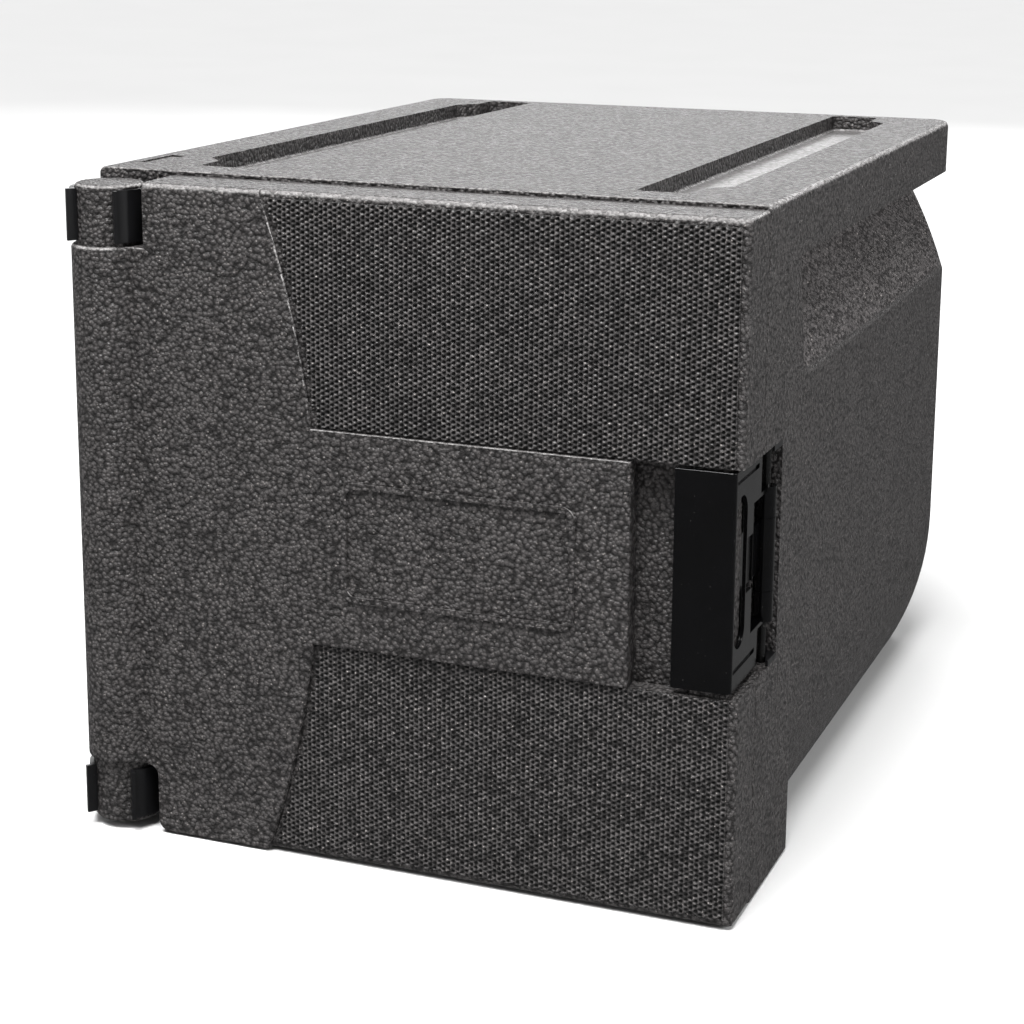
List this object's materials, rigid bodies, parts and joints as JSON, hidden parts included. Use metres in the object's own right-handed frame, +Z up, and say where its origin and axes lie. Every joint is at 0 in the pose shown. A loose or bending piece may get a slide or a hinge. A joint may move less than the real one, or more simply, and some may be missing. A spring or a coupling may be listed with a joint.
{
  "type": "insulated food carrier",
  "caption": "Front-loading insulated foam box for food pans, with ribbed pan rails, a side-hinged lift-off door and a wrap-round plastic clasp.",
  "frame": {"origin": "centre of the bottom of the whole carrier's bounding box, on the surface that the carrier stands on", "axes": "+Z up; the door faces -Y; +X to the right as seen from the front, so the hinge is at -X and the clasp at +X"},
  "size_m": [0.49, 0.659, 0.475],
  "materials": {
    "body_foam": "pebbled expanded foam beads, matte with fine sparkle",
    "door_foam": "pebbled expanded foam beads, matte with fine sparkle",
    "clip_plastic": "satin black moulded plastic",
    "clasp_plastic": "glossy black moulded plastic",
    "pin_plastic": "glossy black"
  },
  "bodies": {
    "body": {"body_shell": "body_foam", "hinge_clip_lower": "clip_plastic", "hinge_clip_upper": "clip_plastic", "pin_keeper_lower": "clip_plastic", "pin_keeper_upper": "clip_plastic"},
    "door": {"door_shell": "door_foam", "clasp_bracket": "clasp_plastic", "clasp_pin": "pin_plastic"},
    "clasp": {"clasp_flap": "clasp_plastic"}
  },
  "joints": [
    {"name": "door_swing", "type": "hinge", "parent": "body", "child": "door", "pos_m": [-0.2175, -0.302, 0], "axis": [0, 0, -1], "range_deg": [0, 195]},
    {"name": "clasp_swing", "type": "hinge", "parent": "door", "child": "clasp", "pos_m": [0.238, -0.2349, 0.236], "axis": [0, 0, 1], "range_deg": [0, 120]}
  ]
}
